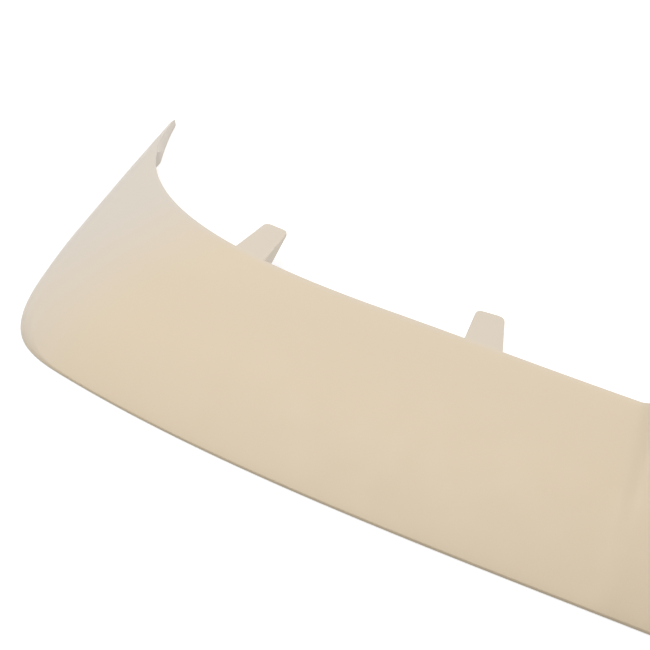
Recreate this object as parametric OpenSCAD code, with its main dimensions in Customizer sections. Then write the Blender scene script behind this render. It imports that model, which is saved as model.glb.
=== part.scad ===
// Roof spoiler, one thin moulding. X runs along the width, Y runs forward, Z is up.
// The part stands on the lower edges of its two ends; all sizes are in millimetres.

/* [Plan] */
// width across the tips of the two horns
overall_width = 1200; // [900:10:1500]
// how far each horn tip stands out beyond the rear corner of its side
horn_flare = 21; // [5:1:40]
// leading edge to trailing edge on the centre line
chord = 154.4; // [110:0.2:220]
// how far the horn tips reach ahead of the middle of the leading edge
horn_reach = 198; // [160:2:250]
// how far the trailing edge has come forward 400 mm out from the centre line
trail_bow = 12; // [4:1:20]
// how far the leading edge would come forward 400 mm out as a plain parabola
lead_bow = 34; // [20:1:40]
// how much of that bow is taken back again 400 mm out
lead_ease = 19; // [0:1:20]
// distance from the centre line to where the leading edge starts its sweep
sweep_start = 289; // [240:1:340]
// distance between the end of the sweep and the line across the horn tips, side to side
sweep_inset = 22.4; // [16:0.2:30]
// how far ahead of the leading edge the sweep ends on the horn
sweep_reach = 145; // [120:1:165]
// size of each rear corner, measured across
corner_width = 68; // [50:1:90]
// how far behind the leading edge the rear corners end
corner_end = 50; // [30:1:80]
// how much the sides are drawn in between the corner and the horn tip
side_waist = 3; // [0:0.5:14]

/* [Heights] */
// top of the leading edge on the centre line
lead_height = 44; // [34:1:70]
// top of the trailing edge on the centre line
trail_height = 2.75; // [2.5:0.25:8]
// gap under the trailing edge when the part rests on its ends
trail_gap = 0.5; // [0:0.25:1.5]
// how much higher the foremost line of that edge lies, above its cut-back underside
trail_lip = 0.25; // [0:0.25:0.75]
// how much lower the sheet lies 400 mm out from the centre line
crown = 6; // [2:0.5:9]
// how much lower the horns lie 200 mm ahead of the leading edge
horn_drop = 18; // [8:0.5:22]
// thickness of the blunt tips of the horns
horn_tip_width = 6.8; // [5.6:0.1:10]
// radius over which the sheet rolls down into the side skirts
shoulder_radius = 20; // [14:1:26]
// radius along the trailing edge
trail_radius = 0.75; // [0.5:0.25:4]
// wall thickness of the moulding
wall = 4; // [3:0.25:5]

/* [Centre hump] */
// height of the raised middle at the leading edge
hump_height = 6; // [3:0.5:14]
// half of the flat width of the raised middle at the leading edge
hump_half_width = 66; // [40:2:90]
// how much that narrows towards the trailing edge
hump_taper = 13; // [0:1:24]
// width of each flank of the raised middle
hump_flank = 16; // [12:1:40]

/* [Tabs] */
// centre line to the inner tabs
inner_tab_at = 206; // [160:1:250]
// centre line to the outer tabs
outer_tab_at = 419; // [360:1:450]
// how far the inner tabs stand out ahead of the leading edge
inner_tab_length = 42; // [30:1:50]
// how far the outer tabs stand out ahead of the leading edge
outer_tab_length = 47; // [30:1:56]
// width of the tabs where they leave the leading edge
tab_root_width = 31; // [24:1:40]
// width of the tabs at their tips
tab_tip_width = 23; // [16:1:30]
// corner radius of the tab tips
tab_corner = 5; // [2:0.5:8]
// thickness of the tab plates
tab_thickness = 3.5; // [2.5:0.25:5]
// slope of the tabs, downwards to the tip
tab_fall = 7; // [0:0.5:12]
// outward lean of the inner tabs
inner_tab_lean = 11; // [-15:1:15]
// outward lean of the outer tabs
outer_tab_lean = -3; // [-15:1:15]
// slant of the tip line of the inner tabs, forward on the outer side
inner_tab_skew = 10; // [-12:1:14]
// slant of the tip line of the outer tabs, forward on the outer side
outer_tab_skew = 4; // [-12:1:14]
// depth of the two ribs under each tab at the leading edge
tab_rib_depth = 18; // [8:1:24]
// thickness of those ribs
tab_rib = 3; // [2:0.25:4]

/* [Hidden] */

// counts of the grid: columns to each side, rows from lower edge to leading edge
core_cols = 3;
flank_cols = 11;
sheet_cols = 15;
corner_cols = 10;
side_cols = 9;
horn_cols = 8;
tip_cols = 3;
hump_cols = core_cols + flank_cols;
cols = hump_cols + sheet_cols + corner_cols + side_cols + horn_cols + tip_cols;
roll_rows = 7;
rows = 18;

half_tip = overall_width / 2;
half_rear = half_tip - horn_flare;
corner_start = half_rear - corner_width;
core_end = hump_half_width - hump_taper - 4;
flank_end = hump_half_width + hump_flank + 6;

function clamp01(v) = min(max(v, 0), 1);
function ease(v) = let (c = clamp01(v)) c * c * (3 - 2 * c);
function mix(a, b, t) = a * (1 - t) + b * t;
function bezier(a, b, c, d, t) =
    a * pow(1 - t, 3) + b * 3 * t * pow(1 - t, 2) + c * 3 * t * t * (1 - t) + d * pow(t, 3);
function unit(v) = v / norm(v);

// the two long edges in plan, y over the distance x from the centre line
function trail_y(x) = -chord + trail_bow * pow(x / 400, 3.5);
function trail_slope(x) = 3.5 * trail_bow * pow(x / 400, 2.5) / 400;
function lead_y(x) = lead_bow * pow(x / 400, 2) - lead_ease * pow(x / 400, 4);
function lead_slope(x) = (2 * lead_bow * x / 400 - 4 * lead_ease * pow(x / 400, 3)) / 400;

// outer edge in plan: 0 to 1 trailing edge, 1 to 2 rear corner, 2 to 3 side, 3 to 4 horn
corner_a = [corner_start, trail_y(corner_start)];
corner_b = [half_rear, -corner_end];
horn_tip = [half_tip, horn_reach];
side_dir = unit(horn_tip - corner_b);
side_mid = (corner_b + horn_tip) / 2 - 2 * side_waist * [side_dir[1], -side_dir[0]];
corner_in = unit([1, trail_slope(corner_start)]);
corner_out = unit(side_mid - corner_b);
horn_share = (sweep_reach + corner_end) / (horn_reach + corner_end);
function side_at(t) = corner_b * pow(1 - t, 2) + side_mid * 2 * t * (1 - t) + horn_tip * t * t;
function outer_at(s) =
    s < 1 ? [corner_start * s, trail_y(corner_start * s)]
    : s < 2 ? bezier(corner_a, corner_a + corner_in * corner_width * 0.66,
                     corner_b - corner_out * (corner_b[1] - corner_a[1]) * 0.66, corner_b, s - 1)
    : side_at(s < 3 ? (s - 2) * horn_share : mix(horn_share, 1, s - 3));
function inward(s) =
    let (d = outer_at(min(s + 0.01, 4)) - outer_at(max(s - 0.01, 0)))
    s <= 0 ? [0, 1] : unit([-d[1], d[0]]);

// trim line in plan: leading edge, then the sweep that runs out along the horn
sweep_a = [sweep_start, lead_y(sweep_start)];
sweep_d = [half_tip - sweep_inset, sweep_reach];
sweep_span = norm(sweep_d - sweep_a);
function trim_line(s) =
    s < 1 ? [sweep_start * s, lead_y(sweep_start * s)]
    : bezier(sweep_a, sweep_a + unit([1, lead_slope(sweep_start)]) * sweep_span * 0.72,
             sweep_d - unit([0.43, 1]) * sweep_span * 0.18, sweep_d, (s - 1) / 2);
// place on the trim line that lies at a given distance out (axis 0) or ahead (axis 1)
function trim_find(axis, value, low = 0, high = 3, n = 26) = let (m = (low + high) / 2)
    n == 0 ? m
    : trim_line(m)[axis] < value ? trim_find(axis, value, m, high, n - 1)
    : trim_find(axis, value, low, m, n - 1);
// the columns of the side end on the trim line level with their foot as they near the horn
corner_lag = trim_line(2.25)[1] + corner_end;
function trim_at(s) =
    s < 1 ? trim_line(1.6 * s)
    : s < 2 ? trim_line(1.6 + 0.65 * (s - 1))
    : s < 3 ? trim_line(trim_find(1, outer_at(s)[1] + corner_lag * max(0, 1 - (s - 2) / 0.75)))
    : outer_at(s) + inward(s) * mix(horn_tip_width, root_depth, pow(4 - s, 1.5));
root_depth = (sweep_d - outer_at(3)) * inward(3);

// the outer corner of each blunt horn tip is rounded off in plan
nose_radius = 0.45 * horn_tip_width;
horn_length = horn_reach - sweep_reach;
function nose(s) =
    let (ahead = max(nose_radius - (4 - s) * horn_length, 0))
    nose_radius - sqrt(max(pow(nose_radius, 2) - pow(ahead, 2), 0));

// height of the sheet over the plan, without the roll along its outer edge
function hump(x, t) =
    hump_height * pow(t, 0.7) * (1 - ease((x - hump_half_width + hump_taper * (1 - t)) / hump_flank));
function sheet_z(x, y) =
    let (top = lead_height - crown * pow(x / 400, 2),
         back = trail_y(x),
         t = clamp01((y - back) / -back),
         rise = 1 - pow(1 - t, 1.7))
    mix(trail_height, top, rise) + hump(x, t) - horn_drop * pow(max(y, 0) / 200, 2.6);

// one column of the surface, from the outer edge to the trim line; inset moves it inside the wall
function side_share(s) = ease((s - 0.9) / 1.1);
// the horns are solid, so there the inner skin stands close under the trim line
function solid_share(s) = ease((s - 2.8) / 0.2);
function column(s, inset) =
    let (n = inward(s),
         base = outer_at(s) + n * nose(s),
         trim = trim_at(s),
         roll = mix(trail_radius, shoulder_radius, side_share(s)),
         low = (trail_gap + trail_lip * (1 - inset / wall)) * (1 - side_share(s)),
         depth = (trim - base) * n,
         fall = inset > 0 && depth < roll ? sin(acos(1 - depth / roll)) : 1,
         step = inset > 0 ? mix(inset, depth - 0.8, solid_share(s)) : 0,
         radius = max(roll - step, 0.8),
         start = base + n * step,
         reach = depth - step,
         turn = reach < radius ? acos(1 - reach / radius) : 90,
         b = norm(trim - start),
         a = b - reach,
         mid = start + n * b / 2,
         roll_length = mix(10, 40, side_share(s)),
         t_roll = turn < 90 ? 1 : 2 * radius / (b + sqrt(b * b - 4 * a * radius)),
         length = turn < 90 ? roll_length * turn / 90 : roll_length + b * (1 - t_roll),
         first = min(turn < 90 ? length : roll_length, 0.45 * length))
    [for (k = [0 : rows])
        let (l = k <= roll_rows ? first * k / roll_rows
                 : mix(first, length, (k - roll_rows) / (rows - roll_rows)),
             angle = min(l / roll_length, 1) * 90,
             in = radius * (1 - cos(angle)),
             t = k == rows ? 1
                 : l < roll_length ? 2 * in / (b + sqrt(max(b * b - 4 * a * in, 0)))
                 : t_roll + (l - roll_length) / b,
             p = start * pow(1 - t, 2) + mid * 2 * t * (1 - t) + trim * t * t)
        [p[0], p[1], low + max(sheet_z(p[0], p[1]) - inset - low, 0.05) * sin(angle) * fall]];

// column stations from the centre line out to the horn tip
horn_from = cols - horn_cols - tip_cols;
function station(j) =
    j <= core_cols ? j * core_end / core_cols / corner_start
    : j <= hump_cols ? mix(core_end, flank_end, (j - core_cols) / flank_cols) / corner_start
    : j <= hump_cols + sheet_cols ? mix(flank_end / corner_start, 1, (j - hump_cols) / sheet_cols)
    : j <= hump_cols + sheet_cols + corner_cols ? 1 + (j - hump_cols - sheet_cols) / corner_cols
    : j <= horn_from ? 2 + (j - hump_cols - sheet_cols - corner_cols) / side_cols
    : j <= cols - tip_cols ? 3 + (j - horn_from) / horn_cols * (1 - nose_radius / horn_length)
    : 4 - (1 - sin(90 * (j - cols + tip_cols) / tip_cols)) * nose_radius / horn_length;

function half_grid(inset) = [for (j = [0 : cols]) column(station(j), inset)];
function full_grid(half) = [
    for (j = [-cols : cols]) for (p = half[abs(j)]) [j < 0 ? -p[0] : p[0], p[1] + frame_shift, p[2]]];

// Y of the row's origin lies midway between the trailing edge and the foremost point of the horns
horn_front = max([for (p = column(4, wall)) p[1]]);
frame_shift = (chord - horn_front) / 2;

module shell() {
    across = 2 * cols;
    high = rows + 1;
    skin = (across + 1) * high;
    points = concat(full_grid(half_grid(0)), full_grid(half_grid(wall)));
    top = [for (j = [0 : across - 1]) for (k = [0 : rows - 1])
        let (a = j * high + k, b = a + high)
        each j < cols ? [[a, a + 1, b + 1], [a, b + 1, b]] : [[a, a + 1, b], [a + 1, b + 1, b]]];
    under = [for (f = top) [f[2] + skin, f[1] + skin, f[0] + skin]];
    rims = [for (j = [0 : across - 1]) for (k = [0, rows])
        let (a = j * high + k, b = a + high)
        each k == 0 ? [[a, b, b + skin], [a, b + skin, a + skin]]
            : [[b, a, a + skin], [b, a + skin, b + skin]]];
    ends = [for (k = [0 : rows - 1]) for (j = [0, across])
        let (a = j * high + k, b = a + 1)
        each j == 0 ? [[b, a, a + skin], [b, a + skin, b + skin]]
            : [[a, b, b + skin], [a, b + skin, a + skin]]];
    polyhedron(points = points, faces = concat(top, under, rims, ends), convexity = 8);
}

// outline of a tab plate: short root inside the wall, tapered sides, rounded tip
tab_back = wall;
tab_seat = 0.8;
rib_back = 30;
function tab_half(y, length) = mix(tab_root_width, tab_tip_width, y / length) / 2;
function tab_outline(length, skew) =
    let (r = tab_corner, w = tab_half(length - r, length) - r, back = tab_half(-tab_back, length),
         tip = [for (side = [1, -1]) for (a = [0 : 15 : 90])
             let (b = side > 0 ? a : 90 + a) [side * w + r * cos(b), length - r + r * sin(b)]])
    concat([[-back, -tab_back], [back, -tab_back]],
           [for (p = tip) let (y = p[1] + p[0] * tan(skew))
               [p[0] * tab_half(y, length) / tab_half(p[1], length), y]]);

// a tab is a plate on two ribs that run back under the sheet
module tab(x, length, lean, skew) {
    y = trim_line(trim_find(0, x))[1];
    edge_z = sheet_z(x, y);
    back_z = sheet_z(x, y - rib_back) - edge_z - wall * 0.7;
    end = length - tab_corner * 1.5;
    end_z = -tab_seat - end * tan(tab_fall);
    taper = atan((tab_root_width - tab_tip_width) / 2 / length);
    translate([x, y + frame_shift, edge_z]) rotate([0, 0, -lean]) {
        translate([0, 0, -tab_seat]) rotate([-tab_fall, 0, 0]) translate([0, 0, -tab_thickness])
            linear_extrude(tab_thickness) polygon(tab_outline(length, skew));
        for (side = [-1, 1])
            translate([side * (tab_half(0, length) - tab_rib / 2), 0, 0]) rotate([0, 0, side * taper])
                translate([-tab_rib / 2, 0, 0]) rotate([90, 0, 90]) linear_extrude(tab_rib)
                    polygon([[-rib_back, back_z], [0, -tab_rib_depth], [end, end_z - tab_thickness],
                             [end, end_z - 1], [0, -tab_seat - 1], [-tab_back, -wall * 0.7]]);
    }
}

module spoiler() {
    color([0.87, 0.80, 0.70]) union() {
        shell();
        for (m = [0, 1]) mirror([m, 0, 0]) {
            tab(inner_tab_at, inner_tab_length, inner_tab_lean, inner_tab_skew);
            tab(outer_tab_at, outer_tab_length, outer_tab_lean, outer_tab_skew);
        }
    }
}

spoiler();
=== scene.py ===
"""Roof spoiler: the unpainted moulding on a pale studio floor.

X is the width, Y runs forward, Z is up.
"""

import math

import bmesh
import bpy
from bpy.props import FloatProperty, FloatVectorProperty, IntProperty, PointerProperty
from mathutils import Matrix, Vector


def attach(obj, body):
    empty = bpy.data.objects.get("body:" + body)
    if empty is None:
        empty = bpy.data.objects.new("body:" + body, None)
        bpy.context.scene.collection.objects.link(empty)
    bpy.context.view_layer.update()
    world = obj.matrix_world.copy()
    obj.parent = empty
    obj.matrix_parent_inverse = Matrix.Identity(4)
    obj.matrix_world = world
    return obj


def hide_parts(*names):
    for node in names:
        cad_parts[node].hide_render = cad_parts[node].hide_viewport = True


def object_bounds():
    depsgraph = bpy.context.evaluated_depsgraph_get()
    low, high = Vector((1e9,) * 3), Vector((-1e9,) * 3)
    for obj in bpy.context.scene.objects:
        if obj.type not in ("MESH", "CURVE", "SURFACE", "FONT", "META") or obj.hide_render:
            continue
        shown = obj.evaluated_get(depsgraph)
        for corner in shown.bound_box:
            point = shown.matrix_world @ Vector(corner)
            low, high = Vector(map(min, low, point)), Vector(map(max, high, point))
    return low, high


bl_info = {
    "name": "Roof spoiler",
    "version": (1, 0, 0),
    "blender": (4, 5, 0),
    "location": "View3D > Sidebar > Spoiler",
    "description": "Builds a one-piece roof spoiler and its studio stage",
    "category": "Object",
}

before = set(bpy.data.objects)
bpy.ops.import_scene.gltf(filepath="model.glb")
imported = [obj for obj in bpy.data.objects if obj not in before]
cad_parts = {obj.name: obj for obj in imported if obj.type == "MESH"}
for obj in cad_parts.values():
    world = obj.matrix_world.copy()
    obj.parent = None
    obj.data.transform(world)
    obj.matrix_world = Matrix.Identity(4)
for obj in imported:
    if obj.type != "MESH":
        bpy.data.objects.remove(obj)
CAD_LOW, CAD_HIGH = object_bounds()
HALF_WIDTH = (CAD_HIGH.x - CAD_LOW.x) / 2
BODY = "root"
WHITE = (1.0, 1.0, 1.0, 1.0)


def length(name, default, description):
    """A size in metres."""
    return FloatProperty(
        name=name, description=description, default=default, unit="LENGTH", precision=4
    )


def count(name, default, description):
    """A number of faces."""
    return IntProperty(name=name, description=description, default=default, min=1)


def angle(name, degrees, description):
    """An angle, written here in degrees."""
    return FloatProperty(
        name=name, description=description, default=math.radians(degrees), subtype="ANGLE"
    )


def tint(name, default, description):
    """A colour, as linear red, green and blue."""
    return FloatVectorProperty(
        name=name, description=description, default=default, size=3, subtype="COLOR", min=0, max=1
    )


class SpoilerShape(bpy.types.PropertyGroup):
    """Sizes of the sheet, its horns and its raised middle."""

    chord: length("Chord", 0.1544, "Leading edge to trailing edge on the centre line")
    horn_reach: length("Horn reach", 0.198, "Horn tips ahead of the leading edge")
    horn_flare: length("Horn flare", 0.021, "Horn tip outside the rear corner")
    trail_bow: length("Trailing bow", 0.012, "Trailing edge forward, 0.4 m out")
    lead_bow: length("Leading bow", 0.034, "Leading edge forward, 0.4 m out")
    lead_ease: length("Leading ease", 0.019, "Part of that bow taken back, 0.4 m out")
    sweep_start: length("Sweep start", 0.289, "Centre line to the start of the sweep")
    sweep_inset: length("Sweep inset", 0.0224, "End of the sweep inside the horn tip")
    sweep_reach: length("Sweep reach", 0.145, "End of the sweep ahead of the leading edge")
    corner_width: length("Corner width", 0.068, "Rear corner, measured across")
    corner_end: length("Corner end", 0.050, "Rear corner behind the leading edge")
    side_waist: length("Side waist", 0.003, "How much the sides are drawn in")
    lead_height: length("Leading height", 0.044, "Top of the leading edge at the middle")
    trail_height: length("Trailing height", 0.00275, "Top of the trailing edge")
    trail_gap: length("Trailing gap", 0.0005, "Gap under the trailing edge")
    trail_lip: length("Trailing lip", 0.00025, "How far that edge is cut back below")
    crown: length("Crown", 0.006, "Drop of the sheet 0.4 m out")
    horn_drop: length("Horn drop", 0.018, "Drop of the horns 0.2 m ahead")
    horn_tip: length("Horn tip", 0.0068, "Thickness of the blunt tips")
    shoulder: length("Shoulder radius", 0.020, "Roll of the sheet into the skirts")
    trail_radius: length("Trailing radius", 0.00075, "Roll along the trailing edge")
    wall: length("Wall", 0.004, "Wall thickness")
    hump_height: length("Hump height", 0.006, "Height of the raised middle")
    hump_half: length("Hump half width", 0.066, "Half of its flat width, leading edge")
    hump_taper: length("Hump taper", 0.013, "How much that narrows to the back")
    hump_flank: length("Hump flank", 0.016, "Width of each of its flanks")
    edge_round: length("Edge rounding", 0.0006, "Rounding of the trimmed edges")
    columns: count("Columns", 108, "Columns of faces to each side")
    rows: count("Rows", 40, "Rows of faces from outer edge to trim line")


class SpoilerTabs(bpy.types.PropertyGroup):
    """Sizes of the four tabs along the leading edge."""

    inner_at: length("Inner tabs", 0.206, "Centre line to the inner tabs")
    outer_at: length("Outer tabs", 0.419, "Centre line to the outer tabs")
    inner_length: length("Inner length", 0.042, "Inner tabs ahead of the leading edge")
    outer_length: length("Outer length", 0.047, "Outer tabs ahead of the leading edge")
    inner_lean: angle("Inner lean", 11, "Outward lean")
    outer_lean: angle("Outer lean", -3, "Outward lean")
    inner_skew: angle("Inner skew", 10, "Slant of the tip")
    outer_skew: angle("Outer skew", 4, "Slant of the tip")
    fall: angle("Fall", 7, "Slope down to the tip")
    root_width: length("Root width", 0.031, "Width at the leading edge")
    tip_width: length("Tip width", 0.023, "Width at the tip")
    corner: length("Tip corner", 0.005, "Corner radius of the tip")
    thickness: length("Thickness", 0.0035, "Thickness of the plate")
    rib_depth: length("Rib depth", 0.018, "Depth of the ribs at the leading edge")
    rib: length("Rib thickness", 0.003, "Thickness of the ribs")
    rib_back: length("Rib run", 0.030, "How far the ribs run back under the sheet")
    edge_round: length("Edge rounding", 0.0007, "Rounding of the tab edges")


class SpoilerFinish(bpy.types.PropertyGroup):
    """Look of the bare moulding and of the stage."""

    colour: tint("Colour", (0.722, 0.596, 0.424), "Bare moulding")
    # painted sheen: a paler, cooler tone that stands in for reflected light towards the ends and
    # edges
    painted_sheen: tint("Bloom", (0.662, 0.597, 0.519), "Paler haze towards the ends")
    roughness: FloatProperty(
        name="Roughness", description="Satin of the skin", default=0.42, min=0, max=1
    )
    floor: tint("Floor", (0.5, 0.5, 0.5), "Studio floor")


def ease(value):
    """A soft step from 0 to 1."""
    clamped = min(max(value, 0.0), 1.0)
    return clamped * clamped * (3 - 2 * clamped)


def mix(a, b, share):
    """Between a and b, at a share of the way."""
    return a * (1 - share) + b * share


def bezier(a, b, c, d, t):
    """A point on the cubic curve from a to d, pulled towards b and c."""
    u = 1 - t
    return a * u**3 + b * 3 * t * u * u + c * 3 * t * t * u + d * t**3


class Form:
    """The surface of the spoiler's right half, from its sizes.

    Columns of points run from the outer edge inwards and forward to the trim line.
    k is a column's place along the outer edge, from 0 at the centre line to 4 at the horn tip.
    """

    # bows and crown are given this far from the centre line, the horns' drop this far ahead
    OUT = 0.4
    AHEAD = 0.2
    # how late each form sets in, as the power of the distance that it grows with
    TRAIL_POWER = 3.5
    RISE_POWER = 1.7
    HUMP_POWER = 0.7
    DROP_POWER = 2.6
    HORN_POWER = 1.5
    # how far the curves in plan hold the direction of their ends: rear corner, sweep, sweep's end
    CORNER_PULL = 0.66
    SWEEP_PULL = 0.72
    SWEEP_END_PULL = 0.18
    SWEEP_END = (0.43, 1)
    # places on the trim line of the columns from the two ends of the rear corner
    TRIM_CORNER = 1.6
    TRIM_SIDE = 2.25
    # share of the side over which the columns turn until they run straight across
    TURN_OVER = 0.75
    # where along the outer edge the skirt grows, and where the horn closes to a solid
    SKIRT_FROM, SKIRT_OVER = 0.9, 1.1
    SOLID_FROM, SOLID_OVER = 2.8, 0.2
    # radius of the rounded horn tip, as a share of its thickness
    TIP_ROUND = 0.45
    # length of column given to the roll, along the trailing edge and on the skirt, and the most
    # that it may take of a short column
    TRAIL_ROLL, SKIRT_ROLL = 0.010, 0.040
    ROLL_SHARE = 0.45
    # least radius and distance of the inner skin in the horn, and least height of any point
    LEAST = 0.0008
    LEAST_RISE = 0.00005
    # the rows of the CAD solid, on which its middle from front to back is found
    CAD_ROWS = {"rows": 18, "roll_rows": 7}

    def __init__(self, shape):
        self.s = s = shape
        tip_x = HALF_WIDTH
        rear_x = tip_x - s.horn_flare
        self.corner_x = rear_x - s.corner_width
        self.corner_a = Vector((self.corner_x, self.trail_y(self.corner_x)))
        self.corner_b = Vector((rear_x, -s.corner_end))
        self.tip = Vector((tip_x, s.horn_reach))
        along = (self.tip - self.corner_b).normalized()
        self.side_mid = (self.corner_b + self.tip) / 2 - 2 * s.side_waist * Vector(
            (along.y, -along.x)
        )
        self.corner_in = Vector((1, self.trail_slope(self.corner_x))).normalized()
        self.corner_out = (self.side_mid - self.corner_b).normalized()
        self.horn_share = (s.sweep_reach + s.corner_end) / (s.horn_reach + s.corner_end)
        self.sweep_a = Vector((s.sweep_start, self.lead_y(s.sweep_start)))
        self.sweep_d = Vector((tip_x - s.sweep_inset, s.sweep_reach))
        self.sweep_span = (self.sweep_d - self.sweep_a).length
        self.sweep_in = Vector((1, self.lead_slope(s.sweep_start))).normalized()
        self.lag = self.trim_line(self.TRIM_SIDE).y + s.corner_end
        self.root_depth = (self.sweep_d - self.outer(3)).dot(self.inward(3))
        front = max(p.y for p in self.column(4, s.wall, **self.CAD_ROWS))
        self.shift = (s.chord - front) / 2

    def trail_y(self, x):
        return -self.s.chord + self.s.trail_bow * (x / self.OUT) ** self.TRAIL_POWER

    def trail_slope(self, x):
        power = self.TRAIL_POWER
        return power * self.s.trail_bow * (x / self.OUT) ** (power - 1) / self.OUT

    def lead_y(self, x):
        u = x / self.OUT
        return self.s.lead_bow * u * u - self.s.lead_ease * u**4

    def lead_slope(self, x):
        u = x / self.OUT
        return (2 * self.s.lead_bow * u - 4 * self.s.lead_ease * u**3) / self.OUT

    def outer(self, k):
        """Outer edge in plan: 0 to 1 trailing edge, to 2 rear corner, to 3 side, to 4 horn."""
        s = self.s
        if k < 1:
            return Vector((self.corner_x * k, self.trail_y(self.corner_x * k)))
        if k < 2:
            deep = (self.corner_b.y - self.corner_a.y) * self.CORNER_PULL
            return bezier(
                self.corner_a,
                self.corner_a + self.corner_in * s.corner_width * self.CORNER_PULL,
                self.corner_b - self.corner_out * deep,
                self.corner_b,
                k - 1,
            )
        t = (k - 2) * self.horn_share if k < 3 else mix(self.horn_share, 1, k - 3)
        return self.corner_b * (1 - t) ** 2 + self.side_mid * 2 * t * (1 - t) + self.tip * t * t

    def inward(self, k, near=0.01):
        """Direction square to the outer edge, from its points near by on both sides."""
        if k <= 0:
            return Vector((0, 1))
        step = self.outer(min(k + near, 4)) - self.outer(max(k - near, 0))
        return Vector((-step.y, step.x)).normalized()

    def nose(self, k):
        """How far the outer edge is rounded off at the horn's blunt tip."""
        radius = self.s.horn_tip * self.TIP_ROUND
        ahead = max(radius - (4 - k) * (self.s.horn_reach - self.s.sweep_reach), 0)
        return radius - math.sqrt(radius * radius - ahead * ahead)

    def trim_line(self, place):
        """Trim line in plan: 0 to 1 leading edge, to 3 the sweep out to the horn."""
        if place < 1:
            x = self.s.sweep_start * place
            return Vector((x, self.lead_y(x)))
        return bezier(
            self.sweep_a,
            self.sweep_a + self.sweep_in * self.sweep_span * self.SWEEP_PULL,
            self.sweep_d
            - Vector(self.SWEEP_END).normalized() * self.sweep_span * self.SWEEP_END_PULL,
            self.sweep_d,
            (place - 1) / 2,
        )

    def trim_find(self, axis, value, halvings=26):
        """The place on the trim line where its x (axis 0) or y (axis 1) reaches the value."""
        low, high = 0.0, 3.0
        for _ in range(halvings):
            middle = (low + high) / 2
            if self.trim_line(middle)[axis] < value:
                low = middle
            else:
                high = middle
        return (low + high) / 2

    def trim(self, k):
        """Where column k ends: leading edge, sweep or the horn's inner face."""
        if k < 1:
            return self.trim_line(self.TRIM_CORNER * k)
        if k < 2:
            return self.trim_line(mix(self.TRIM_CORNER, self.TRIM_SIDE, k - 1))
        if k < 3:
            level = self.outer(k).y + self.lag * max(0, 1 - (k - 2) / self.TURN_OVER)
            return self.trim_line(self.trim_find(1, level))
        depth = mix(self.s.horn_tip, self.root_depth, (4 - k) ** self.HORN_POWER)
        return self.outer(k) + self.inward(k) * depth

    def height(self, x, y):
        """Top of the sheet, before it rolls down at the outer edge."""
        s = self.s
        u = x / self.OUT
        back = self.trail_y(x)
        t = min(max((y - back) / -back, 0), 1)
        foot = (x - s.hump_half + s.hump_taper * (1 - t)) / s.hump_flank
        hump = s.hump_height * (1 - ease(foot)) * t**self.HUMP_POWER
        top = s.lead_height - s.crown * u * u
        rise = 1 - (1 - t) ** self.RISE_POWER
        drop = s.horn_drop * (max(y, 0) / self.AHEAD) ** self.DROP_POWER
        return mix(s.trail_height, top, rise) + hump - drop

    def column(self, k, inset, rows, roll_rows):
        """Points from the outer edge to the trim line; inset moves them inside the wall."""
        s = self.s
        skirt = ease((k - self.SKIRT_FROM) / self.SKIRT_OVER)
        n = self.inward(k)
        base, trim = self.outer(k) + n * self.nose(k), self.trim(k)
        full = mix(s.trail_radius, s.shoulder, skirt)
        low = (s.trail_gap + s.trail_lip * (1 - inset / s.wall)) * (1 - skirt)
        depth = (trim - base).dot(n)
        # where the trim line cuts the roll short, the inner skin ends as low as the outer one
        fall = math.sin(math.acos(1 - depth / full)) if depth < full else 1
        # the horns are solid, so there the inner skin lies close under the trim line
        solid = ease((k - self.SOLID_FROM) / self.SOLID_OVER)
        step = mix(inset, depth - self.LEAST, solid) if inset else 0
        radius = max(full - step, self.LEAST)
        start = base + n * step
        reach = depth - step
        turned = reach < radius
        turn = math.acos(1 - reach / radius) if turned else math.pi / 2
        # the column in plan: at t of the way it is b * t - a * t * t inside the outer edge
        b = (trim - start).length
        a = b - reach
        mid = start + n * b / 2
        # the rows are spread evenly over the roll, and evenly over the rest
        roll = mix(self.TRAIL_ROLL, self.SKIRT_ROLL, skirt)
        t_roll = 1 if turned else 2 * radius / (b + math.sqrt(b * b - 4 * a * radius))
        total = roll * turn / (math.pi / 2) if turned else roll + b * (1 - t_roll)
        first = min(total if turned else roll, self.ROLL_SHARE * total)
        points = []
        for row in range(rows + 1):
            if row <= roll_rows:
                run = first * row / roll_rows
            else:
                run = mix(first, total, (row - roll_rows) / (rows - roll_rows))
            tilt = min(run / roll, 1) * math.pi / 2
            inside = radius * (1 - math.cos(tilt))
            if row == rows:
                t = 1
            elif run < roll:
                t = 2 * inside / (b + math.sqrt(max(b * b - 4 * a * inside, 0)))
            else:
                t = t_roll + (run - roll) / b
            p = start * (1 - t) ** 2 + mid * 2 * t * (1 - t) + trim * t * t
            top = max(self.height(p.x, p.y) - inset - low, self.LEAST_RISE)
            rise = top * math.sin(tilt) * (fall if inset else 1)
            points.append(Vector((p.x, p.y, low + rise)))
        return points


def new_object(name, data):
    """Adds an object to the scene."""
    made = bpy.data.objects.new(name, data)
    bpy.context.scene.collection.objects.link(made)
    return made


def new_solid(bm, name, material):
    """Makes an object from a finished bmesh."""
    mesh = bpy.data.meshes.new(name)
    bm.to_mesh(mesh)
    bm.free()
    mesh.materials.append(material)
    return new_object(name, mesh)


def new_piece(bm, name, material):
    """Makes a piece of the spoiler and ties it to the part's body."""
    piece = new_solid(bm, name, material)
    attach(piece, BODY)
    return piece


def add_bevel(piece, width, degrees):
    """Rounds the edges that are sharper than the given angle."""
    bevel = piece.modifiers.new("Edge rounding", "BEVEL")
    bevel.width = width
    bevel.segments = 2
    bevel.limit_method = "ANGLE"
    bevel.angle_limit = math.radians(degrees)


# share of each side's columns at which each place along the outer edge is reached:
# even over the sheet, closer on the flank of the raised middle, round the corner and on the horn
STATIONS = (
    (0, 0), (0.04, 0.09), (0.2, 0.18), (0.43, 1), (0.62, 2), (0.8, 3), (0.94, 3.94), (1, 4)
)
# share of the rows that lie on the roll
ROLL_ROWS = 0.36


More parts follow.
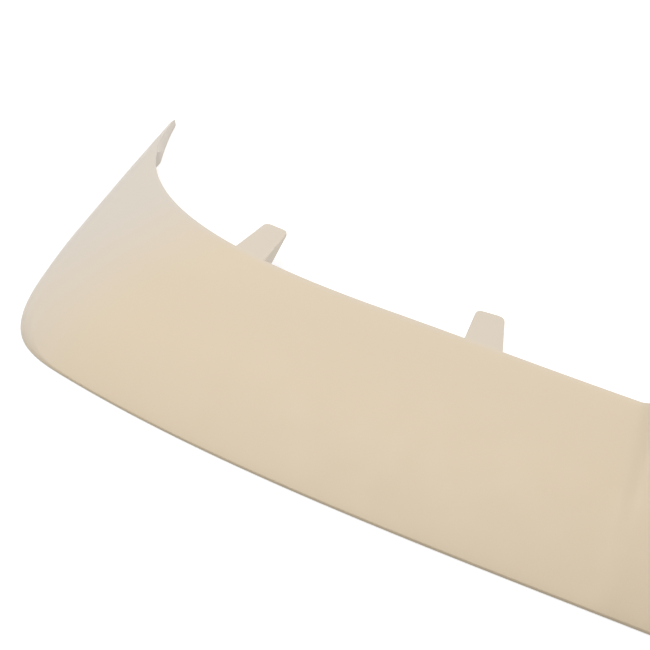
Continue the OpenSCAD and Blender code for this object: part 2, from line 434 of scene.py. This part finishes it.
def station(share):
    """The place along the outer edge at a share of the columns."""
    for (a, low), (b, high) in zip(STATIONS, STATIONS[1:]):
        if share <= b:
            return mix(low, high, (share - a) / (b - a))


def skin(bm, form, inset):
    """One skin of the wall: a grid from bmesh laid over the form. Returns its edge loop."""
    s = form.s
    across, rows = 2 * s.columns, s.rows
    made = bmesh.ops.create_grid(bm, x_segments=across, y_segments=rows, size=1)["verts"]
    columns = {}
    for vert in made:
        j = round((vert.co.x + 1) / 2 * across) - s.columns
        row = round((vert.co.y + 1) / 2 * rows)
        if abs(j) not in columns:
            place = station(abs(j) / s.columns)
            columns[abs(j)] = form.column(place, inset, rows, round(rows * ROLL_ROWS))
        p = columns[abs(j)][row]
        vert.co = Vector((-p.x if j < 0 else p.x, p.y + form.shift, p.z))
    return [e for v in made for e in v.link_edges if len(e.link_faces) == 1]


class SPOILER_OT_shell(bpy.types.Operator):
    """Builds the thin moulding: sheet, shoulders, skirts, horns and raised middle"""

    bl_idname = "spoiler.shell"
    bl_label = "Shell"

    def execute(self, context):
        form = Form(context.scene.spoiler_shape)
        bm = bmesh.new()
        loops = skin(bm, form, 0) + skin(bm, form, form.s.wall)
        bmesh.ops.bridge_loops(bm, edges=list(dict.fromkeys(loops)))
        bmesh.ops.recalc_face_normals(bm, faces=bm.faces)
        for face in bm.faces:
            face.smooth = True
        shell = new_piece(bm, "shell", bare_moulding())
        add_bevel(shell, form.s.edge_round, degrees=50)
        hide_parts("spoiler")
        return {"FINISHED"}


def extruded(bm, faces, vec):
    """Extrudes the faces by a vector and returns their new vertices."""
    out = bmesh.ops.extrude_face_region(bm, geom=faces)["geom"]
    moved = [v for v in out if isinstance(v, bmesh.types.BMVert)]
    bmesh.ops.translate(bm, vec=vec, verts=moved)
    return moved


def rounded_plate(bm, half, reach, back, corner, thickness, skew):
    """A tapered plate with rounded tip corners, its top at z = 0."""
    made = bmesh.ops.create_grid(bm, x_segments=1, y_segments=1, size=1)["verts"]
    for vert in made:
        y = reach if vert.co.y > 0 else -back
        x = math.copysign(half(y), vert.co.x)
        if y > 0:
            y += x * math.tan(skew)
        vert.co = Vector((math.copysign(half(y), x), y, 0))
    tips = [v for v in made if v.co.y > 0]
    bmesh.ops.bevel(
        bm, geom=tips, offset=corner, offset_type="OFFSET", segments=8, profile=0.5,
        affect="VERTICES", material=-1,
    )
    extruded(bm, list(bm.faces), (0, 0, -thickness))


def add_rib(bm, outline, x, turn, thickness):
    """A flat rib of the given side outline, standing along the tab."""
    verts = [bm.verts.new((0, y, z)) for y, z in outline]
    moved = extruded(bm, [bm.faces.new(verts)], (thickness, 0, 0))
    place = Matrix.Translation((x, 0, 0)) @ Matrix.Rotation(turn, 4, "Z")
    place = place @ Matrix.Translation((-thickness / 2, 0, 0))
    bmesh.ops.transform(bm, matrix=place, verts=verts + moved)


class SPOILER_OT_tabs(bpy.types.Operator):
    """Builds the four tabs: tapered plates on two ribs each"""

    bl_idname = "spoiler.tabs"
    bl_label = "Tabs"

    def execute(self, context):
        form = Form(context.scene.spoiler_shape)
        t = context.scene.spoiler_tabs
        for name, x, reach, lean, skew in (
            ("inner", t.inner_at, t.inner_length, t.inner_lean, t.inner_skew),
            ("outer", t.outer_at, t.outer_length, t.outer_lean, t.outer_skew),
        ):
            for side, sign in (("left", -1), ("right", 1)):
                bm = self.tab(form, t, x, reach, lean, skew)
                if sign < 0:
                    bmesh.ops.scale(bm, vec=(-1, 1, 1), verts=bm.verts)
                bmesh.ops.recalc_face_normals(bm, faces=bm.faces)
                piece = new_piece(bm, f"tab_{name}_{side}", bare_moulding())
                add_bevel(piece, t.edge_round, degrees=40)
        return {"FINISHED"}

    def tab(self, form, t, x, reach, lean, skew):
        """One right-hand tab at x, in its place under the leading edge."""
        y = form.trim_line(form.trim_find(0, x)).y
        edge = form.height(x, y)
        wall = form.s.wall
        # the plate lies this much under the sheet's edge, and the ribs' tops are sunk by so much
        # in the plate and in the wall; the ribs end short of the tip's round corners
        seat, sunk, sunk_wall = 0.0008, 0.001, wall * 0.7
        back = form.height(x, y - t.rib_back) - edge - sunk_wall
        end = reach - t.corner * 1.5
        end_z = -seat - end * math.tan(t.fall)

        def half(along):
            return mix(t.root_width, t.tip_width, along / reach) / 2

        bm = bmesh.new()
        rounded_plate(bm, half, reach, wall, t.corner, t.thickness, skew)
        bmesh.ops.transform(
            bm,
            matrix=Matrix.Translation((0, 0, -seat)) @ Matrix.Rotation(-t.fall, 4, "X"),
            verts=bm.verts,
        )
        taper = math.atan((t.root_width - t.tip_width) / 2 / reach)
        outline = (
            (-t.rib_back, back),
            (0, -t.rib_depth),
            (end, end_z - t.thickness),
            (end, end_z - sunk),
            (0, -seat - sunk),
            (-wall, -sunk_wall),
        )
        for side in (-1, 1):
            add_rib(bm, outline, side * (half(0) - t.rib / 2), side * taper, t.rib)
        place = Matrix.Translation((x, y + form.shift, edge)) @ Matrix.Rotation(-lean, 4, "Z")
        bmesh.ops.transform(bm, matrix=place, verts=bm.verts)
        return bm


def new_tree(owner):
    """Gives a material or a world an empty node tree."""
    owner.use_nodes = True
    owner.node_tree.nodes.clear()
    return owner.node_tree


def add_node(tree, kind, inputs=None, **settings):
    """Adds a node. Each input is a constant, or the output that is linked to it."""
    node = tree.nodes.new(kind)
    for key, value in settings.items():
        setattr(node, key, value)
    for key, value in (inputs or {}).items():
        if isinstance(value, bpy.types.NodeSocket):
            tree.links.new(value, node.inputs[key])
        else:
            node.inputs[key].default_value = value
    return node


def maths(tree, operation, *values):
    """The result of a calculation on constants and outputs."""
    inputs = dict(enumerate(values))
    return add_node(tree, "ShaderNodeMath", inputs, operation=operation).outputs["Value"]


def ranged(tree, source, low, high, out_low, out_high, curve="LINEAR"):
    """The source's range from low to high, brought to another range and held at its ends."""
    inputs = {
        "Value": source,
        "From Min": low,
        "From Max": high,
        "To Min": out_low,
        "To Max": out_high,
    }
    node = add_node(tree, "ShaderNodeMapRange", inputs, interpolation_type=curve)
    return node.outputs["Result"]


def painted_sheen_over(tree, place, cloud):
    """How much painted sheen lies over the skin: a paler, cooler tone standing in for reflected
    light.
    """
    axes = add_node(tree, "ShaderNodeSeparateXYZ", {"Vector": place})
    forward = axes.outputs["Y"]
    out_x = maths(tree, "ABSOLUTE", axes.outputs["X"])
    # the painted sheen grows out towards the horns, sooner at the front and a little uneven
    reach = maths(tree, "MULTIPLY_ADD", forward, 0.35, out_x)
    uneven = maths(tree, "MULTIPLY_ADD", cloud, 0.08, reach)
    ends = ranged(tree, uneven, 0.46, 0.63, 0.0, 1.0, "SMOOTHSTEP")
    # painted light: the skin is made a little paler from back to front, as the light falls
    # brighter there
    front = ranged(tree, forward, -0.10, -0.02, 0.0, 0.2)
    # painted highlight: more of the paler tone lies over the last of the leading edge, along its
    # bow, and over the tabs, for the surroundings reflected where they turn away
    slant = maths(tree, "MULTIPLY_ADD", out_x, -0.038, forward)
    ahead = maths(tree, "MULTIPLY_ADD", maths(tree, "POWER", out_x, 6.3), -3.0, slant)
    edge_highlight = ranged(tree, ahead, -0.030, -0.018, 0.0, 0.55, "SMOOTHSTEP")
    return maths(tree, "ADD", maths(tree, "ADD", ends, front), edge_highlight)


def bare_moulding():
    """Unpainted moulding: cream skin with painted sheen towards the ends and edges, satin, very
    fine grain.
    """
    found = bpy.data.materials.get("bare moulding")
    if found:
        return found
    look = bpy.context.scene.spoiler_finish
    material = bpy.data.materials.new("bare moulding")
    tree = new_tree(material)
    place = add_node(tree, "ShaderNodeTexCoord").outputs["Object"]

    def noise(scale, detail, roughness):
        inputs = {"Vector": place, "Scale": scale, "Detail": detail, "Roughness": roughness}
        return add_node(tree, "ShaderNodeTexNoise", inputs).outputs["Fac"]

    cloud, scuff, grain = noise(3.2, 3, 0.5), noise(38, 4, 0.6), noise(1600, 2, 0.5)
    # the cream skin, with the paler tone of the painted sheen mixed over it
    tone = add_node(
        tree,
        "ShaderNodeMix",
        {"Factor": painted_sheen_over(tree, place, cloud), "A": (*look.colour, 1), "B": (*look.painted_sheen, 1)},
        data_type="RGBA",
    )
    rough = ranged(tree, scuff, 0.3, 0.7, look.roughness - 0.04, look.roughness + 0.06)
    bump = add_node(
        tree, "ShaderNodeBump", {"Strength": 0.06, "Distance": 0.0002, "Height": grain}
    )
    shader = add_node(
        tree,
        "ShaderNodeBsdfPrincipled",
        {
            "Base Color": tone.outputs["Result"],
            "Roughness": rough,
            "IOR": 1.47,
            "Normal": bump.outputs["Normal"],
        },
    )
    add_node(tree, "ShaderNodeOutputMaterial", {"Surface": shader.outputs["BSDF"]})
    return material


def seen_directly(tree):
    """A mask that is 1 where the camera, a gloss or a see-through ray meets the stage."""
    path = add_node(tree, "ShaderNodeLightPath")
    mask = path.outputs["Is Camera Ray"]
    for kind in ("Is Glossy Ray", "Is Transmission Ray"):
        mask = maths(tree, "MAXIMUM", mask, path.outputs[kind])
    return mask


class SPOILER_OT_stage(bpy.types.Operator):
    """Sets up the floor, the soft lamps, the pale world and the camera"""

    bl_idname = "spoiler.stage"
    bl_label = "Stage"

    def execute(self, context):
        scene = context.scene
        self.floor(scene.spoiler_finish)
        self.world(scene)
        self.lamps()
        self.camera(scene)
        scene.view_settings.view_transform = "Standard"
        return {"FINISHED"}

    def floor(self, look):
        material = bpy.data.materials.new("pale floor")
        tree = new_tree(material)
        # white where it is seen, and more so far out, where the lamps no longer reach
        place = add_node(tree, "ShaderNodeTexCoord").outputs["Object"]
        away = add_node(tree, "ShaderNodeVectorMath", {0: place}, operation="LENGTH")
        level = ranged(tree, away.outputs["Value"], 0.9, 3.5, 0.69, 0.89)
        share = maths(tree, "MULTIPLY", seen_directly(tree), level)
        glow = add_node(tree, "ShaderNodeEmission", {"Color": WHITE, "Strength": share})
        diffuse = add_node(tree, "ShaderNodeBsdfDiffuse", {"Color": (*look.floor, 1)})
        both = add_node(
            tree, "ShaderNodeAddShader", {0: diffuse.outputs["BSDF"], 1: glow.outputs["Emission"]}
        )
        add_node(tree, "ShaderNodeOutputMaterial", {"Surface": both.outputs["Shader"]})
        bm = bmesh.new()
        bmesh.ops.create_grid(bm, x_segments=1, y_segments=1, size=9)
        # a hair under the part, so that the two share no plane
        bmesh.ops.translate(bm, vec=(0, 0, -0.0002), verts=bm.verts)
        floor = new_solid(bm, "floor", material)

    def world(self, scene):
        world = bpy.data.worlds.new("studio")
        scene.world = world
        tree = new_tree(world)
        # pale as a light, white where it is seen
        soft = add_node(tree, "ShaderNodeBackground", {"Color": WHITE, "Strength": 0.31})
        white = add_node(tree, "ShaderNodeBackground", {"Color": WHITE, "Strength": 1.0})
        shades = {1: soft.outputs["Background"], 2: white.outputs["Background"]}
        mixed = add_node(tree, "ShaderNodeMixShader", {0: seen_directly(tree), **shades})
        add_node(tree, "ShaderNodeOutputWorld", {"Surface": mixed.outputs["Shader"]})

    def lamps(self):
        for name, place, size, energy, colour, aim in (
            ("top lamp", (-1.0, -0.15, 3.2), 2.5, 47.5, (1.0, 0.99, 0.99), (-0.4, 0, 0)),
            ("side lamp", (3.4, 2.4, 2.2), 4.4, 150.0, (1.0, 0.99, 0.97), (-0.5, 0.1, 0.02)),
            ("left lamp", (-2.0, -0.1, 0.9), 1.6, 10.0, (0.93, 0.97, 1.0), (-0.55, 0, 0.02)),
        ):
            lamp = bpy.data.lights.new(name, "AREA")
            lamp.shape = "DISK"
            lamp.size = size
            lamp.energy = energy
            lamp.color = colour
            holder = new_object(name, lamp)
            holder.location = place
            turn = (Vector(aim) - holder.location).to_track_quat("-Z", "Y")
            holder.rotation_euler = turn.to_euler()

    def camera(self, scene):
        # place and lens come from a fit to the outline; the lens is known in pixels of the picture
        azimuth, elevation = math.radians(25.506), math.radians(45)
        target, away = Vector((-0.34172, -0.00889, 0)), 0.98714
        sensor, lens_pixels, picture_pixels = 36, 1200, 650
        back = Vector(
            (
                math.sin(azimuth) * math.cos(elevation),
                -math.cos(azimuth) * math.cos(elevation),
                math.sin(elevation),
            )
        )
        data = bpy.data.cameras.new("camera")
        data.sensor_width = sensor
        data.lens = lens_pixels * sensor / picture_pixels
        data.clip_start = 0.01
        holder = new_object("camera", data)
        holder.location = target + back * away
        holder.rotation_euler = (-back).to_track_quat("-Z", "Y").to_euler()
        scene.camera = holder


class SPOILER_PT_panel(bpy.types.Panel):
    """Sizes and steps of the roof spoiler"""

    bl_idname = "SPOILER_PT_panel"
    bl_label = "Roof spoiler"
    bl_space_type = "VIEW_3D"
    bl_region_type = "UI"
    bl_category = "Spoiler"

    def draw(self, context):
        for group in GROUPS:
            settings = getattr(context.scene, group)
            box = self.layout.box()
            for key in settings.__annotations__:
                box.prop(settings, key)
        for step in STEPS:
            self.layout.operator(step.bl_idname)


STEPS = (SPOILER_OT_shell, SPOILER_OT_tabs, SPOILER_OT_stage)
GROUPS = {
    "spoiler_shape": SpoilerShape,
    "spoiler_tabs": SpoilerTabs,
    "spoiler_finish": SpoilerFinish,
}


def register():
    for kind in (*GROUPS.values(), *STEPS, SPOILER_PT_panel):
        bpy.utils.register_class(kind)
    for name, kind in GROUPS.items():
        setattr(bpy.types.Scene, name, PointerProperty(type=kind))


def unregister():
    for name in GROUPS:
        delattr(bpy.types.Scene, name)
    for kind in reversed((*GROUPS.values(), *STEPS, SPOILER_PT_panel)):
        bpy.utils.unregister_class(kind)


def main():
    register()
    bpy.ops.spoiler.shell()
    bpy.ops.spoiler.tabs()
    bpy.ops.spoiler.stage()
    bpy.context.view_layer.update()


if __name__ == "__main__":
    main()
